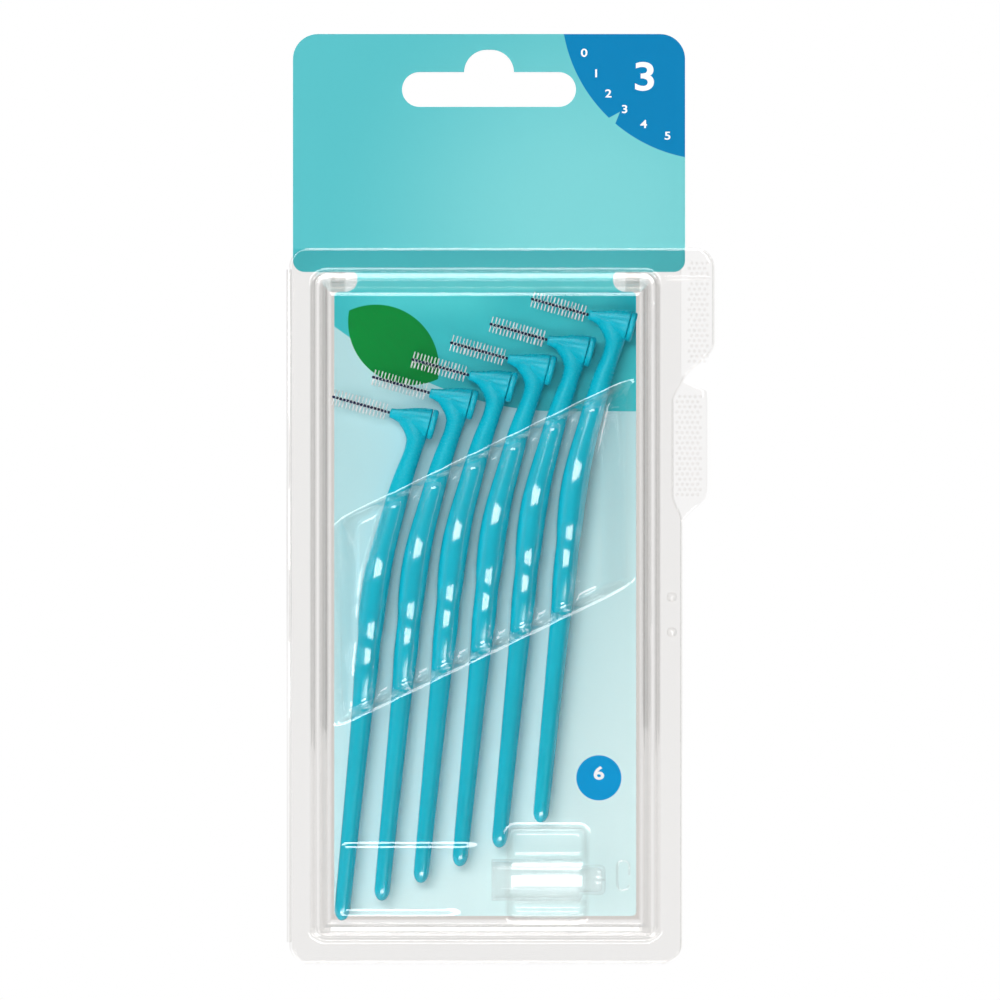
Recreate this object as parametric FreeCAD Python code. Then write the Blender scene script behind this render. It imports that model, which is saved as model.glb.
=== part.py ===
import FreeCAD, Part
import math
import os

# Hanging retail pack of six angled interdental brushes: a die-cut hang card, a thermoformed front shell,
# a hinged back lid, one clear protective cap and six brushes, each made of a moulded handle, a twisted wire,
# its bristles and the plug that closes the head.
# Frame: millimetres, origin in the middle of the card's hang slot, +X right, +Z up, the front faces -Y.

# Sheet stock and fits
card_thick = 0.45
sheet = 0.35
layer_gap = 0.08
seat_clear = 0.15
tunnel_clear = 0.25
bore_fit = 0.04

# Hang card
slot_width = 32.0
slot_height = 6.4
slot_arch_width = 9.2
slot_arch_rise = 4.1
slot_arch_round = 4.2
slot_drop = 10.2
header_height = 43.0
header_corner = 4.6
notch_height = 4.4
neck_width = 47.0
tongue_side_room = 0.4
tongue_foot_room = 0.7
tongue_corner = 0.8
tongue_shoulder = 0.9

# Brush head, turned about the wire's axis; lengths run from the neck's centre line
nose_reach = 5.4
nose_radius = 0.87
cheek_reach = 3.2
cheek_radius = 1.65
crown_reach = 1.1
crown_radius = 2.3
head_back = 2.0
head_radius = 2.8
plug_thick = 1.2
plug_round = 0.45
spigot_radius = 1.2
spigot_length = 1.1

# Twisted wire and its bristles
wire_free = 11.1
wire_thick = 0.24
wire_wide = 0.48
wire_turns = 8.5
steps_per_turn = 4
bristle_reach = 1.5
bristle_thick = 0.11
bristle_rows = 27
bristle_nose_gap = 0.7
bristle_tip_gap = 0.35

# Handle: the neck is straight, bends once at the grip and runs straight to the tail
neck_run = 22.8
bend_run = 13.1
tail_run = 56.7
bend_angle = 9.9
shoulder_flare = 1.3
stem_width = 3.4
stem_depth = 3.3
grip_width = 5.0
grip_depth = 4.3
grip_length = 5.5
waist_width = 4.3
waist_depth = 3.4
waist_drop = 5.6
heel_width = 4.5
heel_depth = 4.1
heel_drop = 4.6
heel_taper = 8.0
tail_width = 2.9
tail_depth = 2.7
tail_round = 3.2

# Row of brushes
brush_count = 6
head_tilt = 15.6
row_rise = 25.9
grip_gap = 1.5
brush_slips = (0.0, 0.1, -0.2, -0.7, -0.8, 0.3)

# Front shell
row_side_room = 0.1
row_top_room = 0.2
row_foot_room = 0.5
tub_depth = 10.0
tub_lean = 4.4
ledge_depth = 3.4
ledge_lean = 0.9
ledge_width = 0.8
edge_round = 0.9
window_corner = 1.0
base_corner = 3.4
flange_margin = 3.5
flange_corner = 3.8
shell_shift = -0.7
band_start = 13.6
band_end = 54.8
band_floor = 2.6
band_corner = 1.2
band_left_room = 0.8
band_right_room = 2.8
wall_draft = 0.5
panel_width = 24.0
panel_height = 10.5
panel_rise = 0.5
panel_left_room = 1.9
panel_foot_room = 2.6
panel_corner = 1.6
pip_width = 1.7
pip_length = 5.5
pip_right_room = 3.5

# Grip tabs on the opening side
upper_tab_reach = 5.9
upper_tab_length = 24.0
lower_tab_reach = 4.8
lower_tab_length = 22.4
tab_round = 2.2
tab_slope = 4.0
tab_clear = 1.6

# Back lid, its nesting ridge, hinge fold and snap studs
ridge_clear = 0.5
ridge_width = 2.8
ridge_height = 3.0
ridge_draft = 0.6
fold_radius = 0.45
fold_clear = 0.12
snap_radius = 0.95
snap_rise = 0.7
snap_clear = 0.12
snap_drop = 64.0
snap_pitch = 6.5

# Protective cap
cap_radius = 3.85
cap_wall = 0.6
cap_barrel = 16.7
cap_nose_radius = 2.8
cap_nose = 4.2
cap_end_round = 1.2
cap_right_room = 6.1
cradle_tail_room = 1.6
cradle_apron = 4.9
cradle_foot_room = 0.3
cradle_mouth_room = 4.0
cradle_end_room = 1.1
cradle_floor = 3.0
cradle_corner = 1.6

# Sides of the polygons that stand for small round forms, and chords of a formed corner
stem_sides = 12
head_sides = 16
stud_sides = 12
corner_chords = 4

# A sliver past a face, so that a cut goes right through it
past = 0.5


def point(x, y, z):
    return FreeCAD.Vector(x, y, z)


def closed_loop(spots):
    """Closed polygon wire through the spots."""
    return Part.makePolygon(spots + spots[:1])


def corner_arcs(corners, y):
    """Start, middle and end of the arc tangent to both sides at each (x, z, radius) corner, at depth y."""
    spots = [point(x, y, z) for x, z, radius in corners]
    arcs = []
    for index, (x, z, radius) in enumerate(corners):
        here = spots[index]
        back = (spots[index - 1] - here).normalize()
        ahead = (spots[(index + 1) % len(spots)] - here).normalize()
        half = back.getAngle(ahead) / 2
        reach = radius / math.tan(half)
        middle = here + (back + ahead).normalize() * (radius / math.sin(half) - radius)
        arcs.append((here + back * reach, middle, here + ahead * reach))
    return arcs


def rounded_outline(corners, y):
    """Closed wire through (x, z, radius) corners, each turned by a tangent arc; radius 0 keeps it sharp."""
    arcs = corner_arcs(corners, y)
    edges = []
    for index, (start, middle, end) in enumerate(arcs):
        if corners[index][2] > 0:
            edges.append(Part.Arc(start, middle, end).toShape())
        following = arcs[(index + 1) % len(arcs)][0]
        if (following - end).Length > 1e-6:
            edges.append(Part.makeLine(end, following))
    return Part.Wire(Part.__sortEdges__(edges))


def chorded_outline(corners, y):
    """The rounded outline with each corner's arc as a few equal chords, for the walls of formed sheet."""
    spots = []
    for start, middle, end in corner_arcs(corners, y):
        spots.extend(Part.Arc(start, middle, end).toShape().discretize(corner_chords + 1))
    return closed_loop(spots)


def rectangle(left, right, low, high, radius):
    """Corners of an upright rectangle, all with one radius."""
    return [(left, low, radius), (right, low, radius), (right, high, radius), (left, high, radius)]


def grown(corners, amount):
    """The same convex outline with every side moved outwards by amount, corner radii following."""
    count = len(corners)
    middle_x = sum(corner[0] for corner in corners) / count
    middle_z = sum(corner[1] for corner in corners) / count
    lines = []
    for index in range(count):
        x1, z1 = corners[index][:2]
        x2, z2 = corners[(index + 1) % count][:2]
        length = math.hypot(x2 - x1, z2 - z1)
        normal = ((z2 - z1) / length, (x1 - x2) / length)
        offset = normal[0] * x1 + normal[1] * z1
        if offset < normal[0] * middle_x + normal[1] * middle_z:
            normal, offset = (-normal[0], -normal[1]), -offset
        lines.append((normal, offset + amount))
    moved = []
    for index in range(count):
        (a, b), first = lines[index - 1]
        (c, d), second = lines[index]
        scale = a * d - b * c
        radius = max(corners[index][2] + amount, sheet / 4)
        moved.append(((first * d - b * second) / scale, (a * second - c * first) / scale, radius))
    return moved


def plate(corners, y_front, y_back):
    """Flat plate of the rounded outline between two depths."""
    return Part.Face(rounded_outline(corners, y_front)).extrude(point(0, y_back - y_front, 0))


def frustum(back_corners, y_back, front_corners, y_front):
    """Straight-sided solid between an outline at one depth and a matching outline at another."""
    return Part.makeLoft([chorded_outline(back_corners, y_back), chorded_outline(front_corners, y_front)], True, True)


def ring_along_x(sides, radius, x):
    """Regular polygon about the X axis, its flats at the radius."""
    spread = radius / math.cos(math.pi / sides)
    turns = [2 * math.pi * (index + 0.5) / sides for index in range(sides)]
    return closed_loop([point(x, spread * math.cos(turn), spread * math.sin(turn)) for turn in turns])


def turned(sides, profile):
    """Straight-sided solid about the X axis through (x, radius) stations."""
    return Part.makeLoft([ring_along_x(sides, radius, x) for x, radius in profile], True, True)


def revolved(profile):
    """Round solid about the X axis inside a closed loop of (x, radius) corners."""
    face = Part.Face(closed_loop([point(x, 0, radius) for x, radius in profile]))
    return face.revolve(point(0, 0, 0), point(1, 0, 0), 360)


# The handle's centre line and sections, in the brush's own frame: wire along -X, neck along -Z
handle_length = neck_run + bend_run + tail_run
bend_radians = math.radians(bend_angle)
bend_radius = bend_run / bend_radians


def spine(along):
    """Place (x, z) and lean of the handle's centre line at a distance along it from the head."""
    turn = min(max(along - neck_run, 0), bend_run) / bend_radius
    x = bend_radius * (1 - math.cos(turn))
    z = -min(along, neck_run) - bend_radius * math.sin(turn)
    tail = max(along - neck_run - bend_run, 0)
    return x + tail * math.sin(turn), z - tail * math.cos(turn), turn


waist_at = neck_run + bend_run + waist_drop
grip_end = waist_at - heel_drop
grip_at = grip_end - grip_length
heel_at = waist_at + heel_drop
tail_at = handle_length - tail_round
neck_width_mean = (stem_width + grip_width) / 2

# Distance along the handle, width across and depth of each section, from the head to the rounded tail
handle_sections = (
    (0.35 * head_radius, stem_width + 2 * shoulder_flare, stem_depth + 0.4 * shoulder_flare),
    (0.95 * head_radius, stem_width + 0.8 * shoulder_flare, stem_depth + 0.15 * shoulder_flare),
    (1.6 * head_radius, stem_width, stem_depth),
    (0.35 * neck_run, stem_width, stem_depth),
    (0.66 * neck_run, 0.94 * neck_width_mean, 0.9 * (stem_depth + grip_depth) / 2),
    (neck_run, 1.05 * neck_width_mean, (stem_depth + grip_depth) / 2),
    (grip_at, grip_width, grip_depth),
    (grip_end, grip_width, grip_depth),
    (waist_at, waist_width, waist_depth),
    (heel_at, heel_width, heel_depth),
    (heel_at + heel_taper, 0.87 * heel_width, 0.88 * heel_depth),
    (tail_at, tail_width, tail_depth),
    (tail_at + 0.7 * tail_round, 0.8 * tail_width, 0.8 * tail_depth),
    (handle_length, 0.3 * tail_width, 0.3 * tail_depth),
)


def handle_size(along):
    """Width and depth of the handle at a distance along it."""
    for (start, *size_a), (end, *size_b) in zip(handle_sections, handle_sections[1:]):
        if along <= end:
            share = (along - start) / (end - start)
            return [a + share * (b - a) for a, b in zip(size_a, size_b)]
    return handle_sections[-1][1:]


def across_spine(along, section):
    """Closed wire of (sideways, depth) spots, square to the handle's centre line at a distance along it."""
    x, z, lean = spine(along)
    return closed_loop([point(x + u * math.cos(lean), y, z + u * math.sin(lean)) for u, y in section])


def oval(width, depth):
    """Spots round an oval of the given width and depth, as a polygon."""
    turns = [2 * math.pi * (index + 0.5) / stem_sides for index in range(stem_sides)]
    return [(width / 2 * math.cos(turn), depth / 2 * math.sin(turn)) for turn in turns]


def wire_bar(x_start, x_end, growth):
    """The untwisted part of the wire pair inside the head, or with some growth the slot that holds it."""
    wide = wire_wide + 2 * growth
    thick = wire_thick + 2 * growth
    return Part.makeBox(x_end - x_start, wide, thick, point(x_start, -wide / 2, -thick / 2))


def stem_section(along, width, depth):
    """Oval section of the handle; near the head it flares towards the nose only, clear of the plug."""
    flare = max(width - stem_width, 0) / 2 if along < 2 * head_radius else 0
    return across_spine(along, [(u - flare, y) for u, y in oval(width, depth)])


def make_handle():
    """Moulded handle: a trumpet-shaped head on a lofted stem, slotted for the wire and bored for the plug."""
    stem = Part.makeLoft([stem_section(*section) for section in handle_sections], True, True)
    trumpet = [(-nose_reach, nose_radius), (-cheek_reach, cheek_radius), (-crown_reach, crown_radius)]
    head = turned(head_sides, trumpet + [(head_back, head_radius)])
    seat_start = head_back - spigot_length
    seat_radius = spigot_radius + bore_fit
    seat = turned(stud_sides, [(seat_start, seat_radius), (head_back + past, seat_radius)])
    slot = wire_bar(-nose_reach - past, seat_start + past, bore_fit)
    return head.fuse(stem).cut([seat, slot]).removeSplitter()


def make_plug():
    """Disc that closes the back of the head, with a bevelled rim and a spigot in the head's seat."""
    back = head_back + plug_thick
    rim = [(head_back, head_radius), (back - plug_round, head_radius), (back, head_radius - plug_round)]
    spigot = [(head_back - spigot_length + bore_fit, spigot_radius), (head_back + past, spigot_radius)]
    return turned(head_sides, rim).fuse(turned(stud_sides, spigot)).removeSplitter()


def twist_at(x):
    """Angle of the twisted wire's flat side at a place along its axis, in radians."""
    return 2 * math.pi * wire_turns * (-nose_reach - x) / wire_free


def wire_corners(x):
    """Corners of the flat section of the two wires lying side by side, turned with the twist."""
    angle = twist_at(x)
    across = point(0, math.cos(angle), math.sin(angle)) * (wire_wide / 2)
    through = point(0, -math.sin(angle), math.cos(angle)) * (wire_thick / 2)
    signs = ((1, 1), (-1, 1), (-1, -1), (1, -1))
    return [point(x, 0, 0) + across * a + through * b for a, b in signs]


def make_wire():
    """Straight stem held in the head and the twisted pair that carries the bristles, in flat facets."""
    steps = round(wire_turns * steps_per_turn)
    rings = [wire_corners(-nose_reach - wire_free * index / steps) for index in range(steps + 1)]
    faces = [Part.Face(closed_loop(rings[0])), Part.Face(closed_loop(rings[-1]))]
    for ring, following in zip(rings, rings[1:]):
        for index in range(4):
            other = (index + 1) % 4
            faces.append(Part.Face(closed_loop([ring[index], ring[other], following[index]])))
            faces.append(Part.Face(closed_loop([ring[other], following[other], following[index]])))
    twisted = Part.Solid(Part.Shell(faces))
    if twisted.Volume < 0:
        twisted.reverse()
    return twisted.fuse(wire_bar(-nose_reach, head_back - spigot_length - bore_fit, 0))


def make_bristles():
    """Three-sided filaments in opposite pairs, each standing on the flat side of the twisted wire."""
    first = -nose_reach - bristle_nose_gap
    last = -nose_reach - wire_free + bristle_tip_gap
    root = wire_thick / 2 + bore_fit
    filaments = []
    for row in range(bristle_rows):
        x = first + (last - first) * row / (bristle_rows - 1)
        foot = [point(x - bristle_thick / 2, -bristle_thick / 3, root), point(x, bristle_thick / 2, root)]
        foot.append(point(x + bristle_thick / 2, -bristle_thick / 3, root))
        for side in (0, 180):
            filament = Part.Face(closed_loop(foot)).extrude(point(0, 0, bristle_reach - root))
            filament.rotate(point(x, 0, 0), point(1, 0, 0), math.degrees(twist_at(x)) + side)
            filaments.append(filament)
    return Part.makeCompound(filaments)


# Depths of the flat layers: the front flange ends at 0, the card and the lid's flange lie behind it
card_front = layer_gap
card_back = card_front + card_thick
lid_front = card_back + layer_gap
lid_back = lid_front + sheet
head_spread = head_radius / math.cos(math.pi / head_sides)
brush_depth = card_front - seat_clear - head_spread

# Row of brushes: the step from one to the next leaves the grips a named gap apart
tilt = math.radians(head_tilt)
rise = math.radians(row_rise)
row_step = (grip_width + grip_gap) / math.cos(rise + tilt - bend_radians / 2)
step_x = row_step * math.cos(rise)
step_z = row_step * math.sin(rise)


def tilted(x, z):
    """A place in the brush's own frame, turned as the brushes lie in the pack."""
    return x * math.cos(tilt) + z * math.sin(tilt), z * math.cos(tilt) - x * math.sin(tilt)


tail_x, tail_z = tilted(*spine(handle_length)[:2])
tip_x = tilted(-nose_reach - wire_free, 0)[0]
tip_top_z = tilted(-nose_reach - wire_free, bristle_reach)[1]
back_x = tilted(head_back + plug_thick, head_radius)[0]

# Heights down the pack, from the slot's middle
header_top = slot_drop
header_foot = header_top - header_height
window_top = header_foot - notch_height
first_z = window_top - row_top_room - tip_top_z - (brush_count - 1) * step_z
window_foot = first_z + tail_z - row_foot_room

# Widths across the pack, about the shell's middle
row_left = min(tail_x - tail_width / 2, tip_x)
row_right = (brush_count - 1) * step_x + back_x
window_width = row_right - row_left + 2 * row_side_room
window_left = shell_shift - window_width / 2
window_right = shell_shift + window_width / 2
first_x = window_left + row_side_room - row_left
window = rectangle(window_left, window_right, window_foot, window_top, window_corner)
tub_base = [(x, z, base_corner) for x, z, radius in grown(window, tub_lean)]
flange_left = window_left - tub_lean - flange_margin
flange_right = window_right + tub_lean + flange_margin
flange_top = window_top + tub_lean + flange_margin
flange_foot = window_foot - tub_lean - flange_margin
header_width = flange_right - flange_left
upper_tab_foot = flange_top - upper_tab_length
lower_tab_foot = upper_tab_foot - lower_tab_length


def brush_spot(index):
    """Where a brush's head sits in the pack; each brush has slid a little along its channel."""
    slip = brush_slips[index]
    return first_x + index * step_x + slip * math.sin(tilt), first_z + index * step_z + slip * math.cos(tilt)


def placed(shape, index):
    """A piece of a brush, turned and moved to its place in the row."""
    x, z = brush_spot(index)
    moved = shape.copy()
    moved.rotate(point(0, 0, 0), point(0, 1, 0), head_tilt)
    moved.translate(point(x, brush_depth, z))
    return moved


# The cap lies level, low on the right, with its nose to the right
cap_tunnel = cap_radius + tunnel_clear + sheet
cradle_top = brush_spot(brush_count - 1)[1] + tail_z - cradle_tail_room
cap_z = cradle_top - cradle_apron - cap_tunnel
cap_depth = card_front - seat_clear - cap_radius
cap_shoulder_x = window_right - cap_right_room - cap_nose
cap_mouth_x = cap_shoulder_x - cap_barrel


def make_cap():
    """Clear stepped cap, open at the left, with one wall thickness all round."""

    def stepped(inset, mouth):
        barrel = cap_radius - inset
        nose = cap_nose_radius - inset
        shoulder = cap_barrel - inset
        tip = cap_barrel + cap_nose - inset
        bevel = cap_end_round - inset
        rim = [(mouth, 0), (mouth, barrel), (shoulder, barrel), (shoulder, nose)]
        return revolved(rim + [(tip - bevel, nose), (tip, nose - bevel), (tip, 0)])

    cap = stepped(0, 0).cut(stepped(cap_wall, -past))
    cap.translate(point(cap_mouth_x, cap_depth, cap_z))
    return cap


def make_card():
    """Die-cut card: header with the hang slot, a neck between two round-ended notches, and the tongue."""
    half_header = header_width / 2
    notch_round = notch_height / 2
    left = window_left + tongue_side_room
    right = window_right - tongue_side_room
    foot = window_foot + tongue_foot_room
    header = plate(rectangle(-half_header, half_header, header_foot, header_top, header_corner), card_front, card_back)
    shoulders = [(right, window_top, tongue_shoulder), (left, window_top, tongue_shoulder)]
    outline = rectangle(left, right, foot, window_top, tongue_corner)[:2] + shoulders
    tongue = plate(outline, card_front, card_back)
    neck_edges = (shell_shift - neck_width / 2, shell_shift + neck_width / 2)
    bridge = (neck_edges[0] - notch_round, neck_edges[1] + notch_round, window_top - past, header_foot + past)
    card = header.fuse([tongue, plate(rectangle(*bridge, 0), card_front, card_back)])
    cuts = []
    for side, edge in zip((-1, 1), neck_edges):
        centre = point(edge + side * notch_round, card_front - past, (window_top + header_foot) / 2)
        cuts.append(Part.makeCylinder(notch_round, card_thick + 2 * past, centre, point(0, 1, 0)))
    half_slot = slot_width / 2
    half_arch = slot_arch_width / 2
    slot_round = slot_height / 2
    arch_top = slot_round + slot_arch_rise
    middle = rectangle(slot_round - half_slot, half_slot - slot_round, -slot_round, slot_round, 0)
    arch = rectangle(-half_arch, half_arch, -slot_round / 2, arch_top, slot_arch_round)
    cuts += [plate(opening, card_front - past, card_back + past) for opening in (middle, arch)]
    for side in (-1, 1):
        centre = point(side * (half_slot - slot_round), card_front - past, 0)
        cuts.append(Part.makeCylinder(slot_round, card_thick + 2 * past, centre, point(0, 1, 0)))
    return card.cut(cuts).removeSplitter()


def band_outline():
    """Corners of the slanted band where the front face steps down between the handles."""
    x, z = brush_spot(0)
    left = window_left + band_left_room
    right = window_right - band_right_room
    corners = []
    for along, ends in ((band_end, (left, right)), (band_start, (right, left))):
        spot_x, spot_z = tilted(*spine(along)[:2])
        corners += [(end, z + spot_z + math.tan(rise) * (end - x - spot_x), band_corner) for end in ends]
    return corners


def tunnel(index, skin):
    """Faceted arch over one handle within the band, a clearance and the sheet away from the handle."""
    reach = tunnel_clear + sheet - skin
    base = card_front - sheet - brush_depth - past
    stations = (band_start - heel_drop, 0.66 * neck_run, neck_run, grip_at, grip_end, heel_at, band_end + heel_drop)
    wires = []
    for along in stations:
        width, depth = handle_size(along)
        side = width / 2 + reach
        roof = 0.55 * side
        crest = -depth / 2 - reach
        shoulder = -depth / 6
        arch = [(-side, base), (-side, shoulder), (-roof, crest), (roof, crest), (side, shoulder), (side, base)]
        wires.append(across_spine(along, arch))
    return placed(Part.makeLoft(wires, True, True), index)


def mould(skin):
    """Solid under the formed sheet: skin 0 gives its outer face, skin of one sheet its inner face."""
    base_depth = past if skin else 0
    front = skin - tub_depth
    foot = grown(tub_base, -skin)
    ledge = grown(foot, -ledge_lean)
    rim = grown(window, edge_round - skin)
    body = frustum(foot, base_depth, ledge, skin - ledge_depth)
    body = body.fuse(frustum(grown(ledge, -ledge_width), base_depth, rim, front + edge_round))
    body = body.fuse(frustum(rim, front + edge_round, grown(window, -skin), front))

    over = front - panel_rise - past
    cradle = rectangle(
        cap_mouth_x + cradle_mouth_room, cap_shoulder_x + cradle_end_room,
        cap_z - cap_tunnel - cradle_foot_room, cradle_top, cradle_corner,
    )
    for recess, floor in ((band_outline(), band_floor), (cradle, cradle_floor)):
        body = body.cut(frustum(grown(recess, skin), skin - floor, grown(recess, skin + wall_draft), over))

    raised = [tunnel(index, skin) for index in range(brush_count)]
    arch = (cap_mouth_x + cradle_mouth_room - cradle_corner, cap_shoulder_x + cradle_end_room + cradle_corner)
    half_pip = pip_width / 2
    arch_solid = turned(head_sides, [(x, cap_tunnel - skin) for x in arch])
    arch_solid.translate(point(0, cap_depth, cap_z))
    behind = Part.makeBox(arch[1] - arch[0], cap_tunnel, 3 * cap_tunnel, point(arch[0], -sheet, cap_z - 1.5 * cap_tunnel))
    raised.append(arch_solid.cut(behind))
    panel_left = window_left + panel_left_room
    panel_low = window_foot + panel_foot_room
    panel = rectangle(panel_left, panel_left + panel_width, panel_low, panel_low + panel_height, panel_corner)
    pip_x = window_right - pip_right_room
    pip_low = cap_z - pip_length / 2
    pip = rectangle(pip_x - half_pip, pip_x + half_pip, pip_low, pip_low + pip_length, 0.9 * half_pip)
    for bump in (panel, pip):
        raised.append(frustum(grown(bump, -skin), front + sheet, grown(bump, -skin - panel_rise / 2), front - panel_rise))
    return body.fuse(raised).removeSplitter()


def snap_spots():
    """Middles of the two snap studs, half way across the flange on the opening side."""
    x = flange_right - flange_margin / 2
    return [point(x, 0, flange_top - snap_drop - index * snap_pitch) for index in range(2)]


def stud(radius, spot, y_front, y_back):
    """Small upright stud through a spot of the flange, between two depths."""
    pin = turned(stud_sides, [(y_front, radius), (y_back, radius)])
    pin.rotate(point(0, 0, 0), point(0, 0, 1), 90)
    pin.translate(spot)
    return pin


def make_front_shell():
    """Thermoformed front: flange with its grip tab, stepped tub, holding band, cradle, snaps and hinge fold."""
    tab_edge = flange_right + upper_tab_reach
    recess = flange_right - tab_clear
    corners = [
        (flange_left, flange_foot, flange_corner),
        (flange_right, flange_foot, flange_corner),
        (flange_right, lower_tab_foot - tab_slope, flange_corner),
        (recess, lower_tab_foot, tab_round),
        (recess, upper_tab_foot - tab_slope, tab_round),
        (flange_right + upper_tab_reach / 2, upper_tab_foot, tab_round),
        (tab_edge, upper_tab_foot + 2 * tab_slope, tab_round),
        (tab_edge, flange_top, tab_round),
        (flange_left, flange_top, flange_corner),
    ]
    fold_foot = point(flange_left, lid_front / 2, flange_foot + flange_corner)
    fold_length = flange_top - flange_foot - 2 * flange_corner
    fold = Part.makeCylinder(fold_radius, fold_length, fold_foot, point(0, 0, 1))
    shell = plate(corners, -sheet, 0).fuse([mould(0), fold]).cut(mould(sheet))
    crest = -sheet - snap_rise
    shell = shell.fuse([stud(snap_radius, spot, crest, -sheet / 2) for spot in snap_spots()])
    return shell.cut([stud(snap_radius - sheet, spot, crest + sheet, past) for spot in snap_spots()]).removeSplitter()


def ridge(skin):
    """The lid's nesting ridge round the card's tongue, open at the neck where the card passes."""
    outer = grown(tub_base, -sheet - ridge_clear - skin)
    inner = grown(tub_base, -sheet - ridge_clear - ridge_width + skin)
    foot = lid_back + (past if skin else 0)
    crest = lid_front - ridge_height + skin
    ring = frustum(outer, foot, grown(outer, -ridge_draft), crest)
    ring = ring.cut(frustum(inner, foot + past, grown(inner, ridge_draft), crest - past))
    half_gap = neck_width / 2 + ridge_clear + notch_height / 2 + skin
    low = window_top - ridge_width
    gap = rectangle(shell_shift - half_gap, shell_shift + half_gap, low, flange_top, 0)
    return ring.cut(plate(gap, crest - 2 * past, foot + 2 * past))


def make_back_lid():
    """Flat back panel with the nesting ridge, the lower grip tab and two snap studs."""
    hinge_edge = flange_left + fold_radius + fold_clear
    tab_edge = flange_right + lower_tab_reach
    corners = [
        (hinge_edge, flange_foot, flange_corner),
        (flange_right, flange_foot, flange_corner),
        (flange_right, lower_tab_foot - tab_slope, flange_corner),
        (tab_edge, lower_tab_foot, flange_corner),
        (tab_edge, upper_tab_foot - tab_clear, tab_round),
        (flange_right, upper_tab_foot, tab_round / 2),
        (flange_right, flange_top, flange_corner),
        (hinge_edge, flange_top, flange_corner),
    ]
    lid = plate(corners, lid_front, lid_back).fuse(ridge(0)).cut(ridge(sheet))
    pin = snap_radius - sheet - snap_clear
    studs = [stud(pin, spot, snap_clear - snap_rise, lid_front + sheet / 2) for spot in snap_spots()]
    return lid.fuse(studs).removeSplitter()


os.makedirs("parts", exist_ok=True)
pieces = {
    "hang_card": make_card(),
    "front_shell": make_front_shell(),
    "back_lid": make_back_lid(),
    "protective_cap": make_cap(),
}
brush_pieces = {"handle": make_handle(), "head_plug": make_plug(), "wire": make_wire(), "bristles": make_bristles()}
for number in range(brush_count):
    for name, shape in brush_pieces.items():
        pieces[f"brush_{number + 1}_{name}"] = placed(shape, number)
for name, shape in pieces.items():
    shape.exportStep(f"parts/{name}.step")
print("pieces", len(pieces), "pack width", round(header_width, 1), "height", round(header_top - flange_foot, 1))
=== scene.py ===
import math

import bpy
import numpy as np
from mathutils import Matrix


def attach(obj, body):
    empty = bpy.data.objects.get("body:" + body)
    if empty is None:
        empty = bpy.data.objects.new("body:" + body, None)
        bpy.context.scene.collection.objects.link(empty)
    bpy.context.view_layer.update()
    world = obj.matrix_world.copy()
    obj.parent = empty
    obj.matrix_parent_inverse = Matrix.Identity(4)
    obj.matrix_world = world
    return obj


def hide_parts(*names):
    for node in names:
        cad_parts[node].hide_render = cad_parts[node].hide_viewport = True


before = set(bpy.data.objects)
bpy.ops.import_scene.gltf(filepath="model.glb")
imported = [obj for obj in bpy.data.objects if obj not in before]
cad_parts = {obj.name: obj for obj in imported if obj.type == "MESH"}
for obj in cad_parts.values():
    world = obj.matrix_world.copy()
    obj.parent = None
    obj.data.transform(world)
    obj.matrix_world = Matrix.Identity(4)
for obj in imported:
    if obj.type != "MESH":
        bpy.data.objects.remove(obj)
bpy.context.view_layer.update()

# All sizes below are millimetres in the pack's own frame; meshes are made in metres
MM = 0.001

# Flat layers and sheet stock
sheet = 0.35
card_front = 0.08
card_back = 0.53
lid_front = 0.61
seat_clear = 0.15

# One brush, in its own frame: wire along -X, neck along -Z
nose_reach = 5.4
head_back = 2.0
head_radius = 2.8
plug_thick = 1.2
plug_gap = 0.11
wire_free = 11.1
wire_turns = 8.5
strand_radius = 0.135
bristle_reach = 1.5
neck_run = 22.8
bend_run = 13.1
tail_run = 57.2
bend = math.radians(9.9)
bend_radius = bend_run / bend
handle_length = neck_run + bend_run + tail_run
tail_round = 2.2

# Row of brushes in the pack
brush_count = 6
tilt = math.radians(15.6)
rise = math.radians(25.9)
row_step = 6.5 / math.cos(rise + tilt - bend / 2)
step_x = row_step * math.cos(rise)
step_z = row_step * math.sin(rise)
brush_slips = (0.0, 0.1, -0.2, -0.7, -0.8, 0.3)
brush_depth = card_front - seat_clear - head_radius / math.cos(math.pi / 16)

# Front shell outline and form
window_left, window_right = -28.86, 27.46
window_foot, window_top = -152.69, -37.2
tub_lean = 4.4
tub_depth = 10.0
flange_margin = 3.5
base_left, base_right = window_left - tub_lean, window_right + tub_lean
base_foot, base_top = window_foot - tub_lean, window_top + tub_lean
base_corner = 3.4
flange_left, flange_right = base_left - flange_margin, base_right + flange_margin
flange_foot, flange_top = base_foot - flange_margin, base_top + flange_margin
flange_corner = 3.4
upper_tab_edge = flange_right + 5.9
upper_tab_foot = flange_top - 24.0
lower_tab_edge = flange_right + 4.8
lower_tab_foot = upper_tab_foot - 22.4
band_start, band_end = 13.6, 54.8
band_floor = 2.6
tunnel_reach = 0.6
tunnel_side_room = 0.12
grip_half_depth = 2.35
rim_run = 1.2
foot_run = 0.6
hinge_room = 3.8
hinge_radius = 0.45
snap_drops = (64.0, 70.5)
snap_radius, snap_height = 0.95, 0.7

# Tub wall: distances inside its foot of the ledge and the crest, which lie elsewhere at the pack's foot and top
ledge_start, ledge_end, wall_crest = 1.0, 2.0, 4.05
steep_ledge, steep_crest = 1.55, 2.6
top_crest = 4.78
ledge_height = 3.4

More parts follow.
